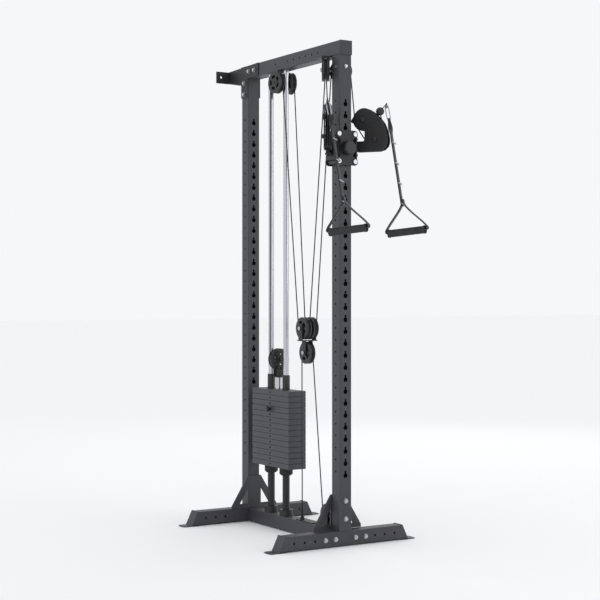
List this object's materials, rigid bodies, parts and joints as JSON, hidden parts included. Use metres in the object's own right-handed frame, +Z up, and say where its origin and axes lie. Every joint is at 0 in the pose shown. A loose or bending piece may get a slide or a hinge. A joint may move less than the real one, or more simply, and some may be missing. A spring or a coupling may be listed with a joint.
{
  "type": "dual handle cable tower",
  "caption": "Free-standing cable tower: weight stack, pulleys, and a height-adjustable carriage with two swivelling pulley arms and strap handles.",
  "frame": {"origin": "underside centre of the middle pad under the base beam, on the floor", "axes": "+Z up, +Y from the front upright to the rear upright and weight stack, +X to the right when looking along +Y"},
  "size_m": [0.728, 1.2021, 2.112],
  "materials": {
    "frame_paint": "fine textured charcoal powder coat",
    "fitting_paint": "satin black powder coat",
    "chrome": "polished chrome plate",
    "zinc": "bright zinc plate",
    "iron": "black painted cast iron",
    "rubber": "matt black",
    "plastic": "moulded black nylon",
    "cable": "black coated steel cable",
    "webbing": "woven black nylon webbing",
    "foam": "textured rubber grip"
  },
  "bodies": {
    "frame": {"front_upright": "frame_paint", "rear_upright": "frame_paint", "top_beam": "frame_paint", "beam_end_caps": "plastic", "base_beam": "frame_paint", "foot_centres": "frame_paint", "legs": "frame_paint", "wall_brackets": "fitting_paint", "hex_bolts": "zinc", "base_pads": "rubber", "guide_rods": "chrome", "riser_tubes": "fitting_paint", "stack_bumpers": "rubber", "resting_plates": "iron", "top_pulley_hangers": "fitting_paint", "base_cable_fittings": "fitting_paint", "fixed_cable_loops": "cable"},
    "stack": {"lifted_plates": "iron", "stack_bushings": "plastic", "selector_stem": "chrome", "stack_pulley_bracket": "fitting_paint", "stack_cable_loop": "cable", "stack_cable_strands": "cable"},
    "block": {"block_bracket": "fitting_paint", "block_bolts": "zinc", "block_cable_loops": "cable", "block_cable_strands": "cable", "low_cable_strands": "cable"},
    "carriage": {"carriage_frame": "fitting_paint", "carriage_bolts": "zinc", "carriage_rollers": "plastic", "arm_cable_strands": "cable", "rising_cable_strand": "cable"},
    "stack_pulley_body": {"stack_pulley": "plastic"},
    "selector_pin_body": {"selector_pin": "plastic"},
    "rear_left_pulley_body": {"rear_left_pulley": "plastic"},
    "rear_right_pulley_body": {"rear_right_pulley": "plastic"},
    "front_left_pulley_body": {"front_left_pulley": "plastic"},
    "front_right_pulley_body": {"front_right_pulley": "plastic"},
    "base_pulley_body": {"base_pulley": "plastic"},
    "block_left_pulley_body": {"block_left_pulley": "plastic"},
    "block_right_pulley_body": {"block_right_pulley": "plastic"},
    "block_lower_pulley_body": {"block_lower_pulley": "plastic"},
    "pull_pin_body": {"pull_pin": "plastic"},
    "right_arm_body": {"right_arm": "fitting_paint", "right_arm_cable": "cable", "right_ball_stop": "plastic"},
    "right_handle_body": {"right_handle_fittings": "zinc", "right_strap": "webbing", "right_grip": "foam"},
    "right_upper_arm_pulley_body": {"right_upper_arm_pulley": "plastic"},
    "right_lower_arm_pulley_body": {"right_lower_arm_pulley": "plastic"},
    "left_arm_body": {"left_arm": "fitting_paint", "left_arm_cable": "cable", "left_ball_stop": "plastic"},
    "left_handle_body": {"left_handle_fittings": "zinc", "left_strap": "webbing", "left_grip": "foam"},
    "left_upper_arm_pulley_body": {"left_upper_arm_pulley": "plastic"},
    "left_lower_arm_pulley_body": {"left_lower_arm_pulley": "plastic"}
  },
  "joints": [
    {"name": "carriage_slide", "type": "slide", "parent": "frame", "child": "carriage", "axis": [0, 0, 1], "range_m": [-1.2, 0.1], "deforming": ["arm_cable_strands", "rising_cable_strand"]},
    {"name": "block_slide", "type": "slide", "parent": "frame", "child": "block", "axis": [0, 0, 1], "range_m": [-0.05, 0.6], "deforming": ["block_cable_strands", "low_cable_strands"]},
    {"name": "stack_lift", "type": "slide", "parent": "frame", "child": "stack", "axis": [0, 0, 1], "range_m": [0, 0.55], "deforming": ["stack_cable_strands"]},
    {"name": "selector_pin_pull", "type": "slide", "parent": "stack", "child": "selector_pin_body", "axis": [-1, 0, 0], "range_m": [0, 0.06]},
    {"name": "pull_pin_travel", "type": "slide", "parent": "carriage", "child": "pull_pin_body", "axis": [0, -1, 0], "range_m": [-0.0055, 0]},
    {"name": "stack_pulley_spin", "type": "hinge", "parent": "stack", "child": "stack_pulley_body", "pos_m": [0, 0.13, 0.76], "axis": [0, 1, 0], "continuous": true},
    {"name": "rear_right_pulley_spin", "type": "hinge", "parent": "frame", "child": "rear_right_pulley_body", "pos_m": [0.035, 0.089, 1.998], "axis": [0.994, -0.1097, 0], "continuous": true},
    {"name": "front_right_pulley_spin", "type": "hinge", "parent": "frame", "child": "front_right_pulley_body", "pos_m": [0.038, -0.321, 1.998], "axis": [0.8508, 0.5255, 0], "continuous": true},
    {"name": "block_right_pulley_spin", "type": "hinge", "parent": "block", "child": "block_right_pulley_body", "pos_m": [0.0175, -0.114, 0.904], "axis": [1, 0, 0], "continuous": true},
    {"name": "rear_left_pulley_spin", "type": "hinge", "parent": "frame", "child": "rear_left_pulley_body", "pos_m": [-0.035, 0.089, 1.998], "axis": [0.994, 0.1097, 0], "continuous": true},
    {"name": "front_left_pulley_spin", "type": "hinge", "parent": "frame", "child": "front_left_pulley_body", "pos_m": [-0.038, -0.321, 1.998], "axis": [0.8508, -0.5255, 0], "continuous": true},
    {"name": "block_left_pulley_spin", "type": "hinge", "parent": "block", "child": "block_left_pulley_body", "pos_m": [-0.0175, -0.114, 0.904], "axis": [1, 0, 0], "continuous": true},
    {"name": "base_pulley_spin", "type": "hinge", "parent": "frame", "child": "base_pulley_body", "pos_m": [0, -0.285, 0.114], "axis": [1, 0, 0], "continuous": true},
    {"name": "block_lower_pulley_spin", "type": "hinge", "parent": "block", "child": "block_lower_pulley_body", "pos_m": [0, -0.114, 0.798], "axis": [1, 0, 0], "continuous": true},
    {"name": "right_arm_swivel", "type": "hinge", "parent": "carriage", "child": "right_arm_body", "pos_m": [0.067, -0.385, 1.6715], "axis": [0, 0, 1], "range_deg": [-12, 86]},
    {"name": "right_handle_swing", "type": "hinge", "parent": "right_arm_body", "child": "right_handle_body", "pos_m": [0.14655, -0.50383, 1.837], "axis": [-0.831, -0.5563, 0], "range_deg": [0, 12]},
    {"name": "right_upper_arm_pulley_spin", "type": "hinge", "parent": "right_arm_body", "child": "right_upper_arm_pulley_body", "pos_m": [0.08925, -0.41824, 1.784], "axis": [-0.831, -0.5563, 0], "continuous": true},
    {"name": "right_lower_arm_pulley_spin", "type": "hinge", "parent": "right_arm_body", "child": "right_lower_arm_pulley_body", "pos_m": [0.11985, -0.46394, 1.7], "axis": [-0.831, -0.5563, 0], "continuous": true},
    {"name": "left_arm_swivel", "type": "hinge", "parent": "carriage", "child": "left_arm_body", "pos_m": [-0.067, -0.385, 1.6715], "axis": [0, 0, -1], "range_deg": [-12, 86]},
    {"name": "left_handle_swing", "type": "hinge", "parent": "left_arm_body", "child": "left_handle_body", "pos_m": [-0.14655, -0.50383, 1.837], "axis": [-0.831, -0.5563, 0], "range_deg": [0, 12]},
    {"name": "left_upper_arm_pulley_spin", "type": "hinge", "parent": "left_arm_body", "child": "left_upper_arm_pulley_body", "pos_m": [-0.08925, -0.41824, 1.784], "axis": [-0.831, 0.5563, 0], "continuous": true},
    {"name": "left_lower_arm_pulley_spin", "type": "hinge", "parent": "left_arm_body", "child": "left_lower_arm_pulley_body", "pos_m": [-0.11985, -0.46394, 1.7], "axis": [-0.831, 0.5563, 0], "continuous": true}
  ],
  "couplings": [
    {"joint": "block_slide", "follows": "carriage_slide", "ratio": -0.5},
    {"joint": "rear_right_pulley_spin", "follows": "stack_lift", "rad_per_m": 22.472},
    {"joint": "front_right_pulley_spin", "follows": "stack_lift", "rad_per_m": 22.472},
    {"joint": "block_right_pulley_spin", "follows": "stack_lift", "rad_per_m": -22.472},
    {"joint": "rear_left_pulley_spin", "follows": "stack_lift", "rad_per_m": 22.472},
    {"joint": "front_left_pulley_spin", "follows": "stack_lift", "rad_per_m": 22.472},
    {"joint": "block_left_pulley_spin", "follows": "stack_lift", "rad_per_m": -22.472},
    {"joint": "base_pulley_spin", "follows": "carriage_slide", "rad_per_m": -22.472},
    {"joint": "block_lower_pulley_spin", "follows": "carriage_slide", "rad_per_m": 11.236},
    {"joint": "right_upper_arm_pulley_spin", "follows": "stack_lift", "rad_per_m": 25},
    {"joint": "right_lower_arm_pulley_spin", "follows": "stack_lift", "rad_per_m": 25},
    {"joint": "left_upper_arm_pulley_spin", "follows": "stack_lift", "rad_per_m": 25},
    {"joint": "left_lower_arm_pulley_spin", "follows": "stack_lift", "rad_per_m": 25}
  ]
}
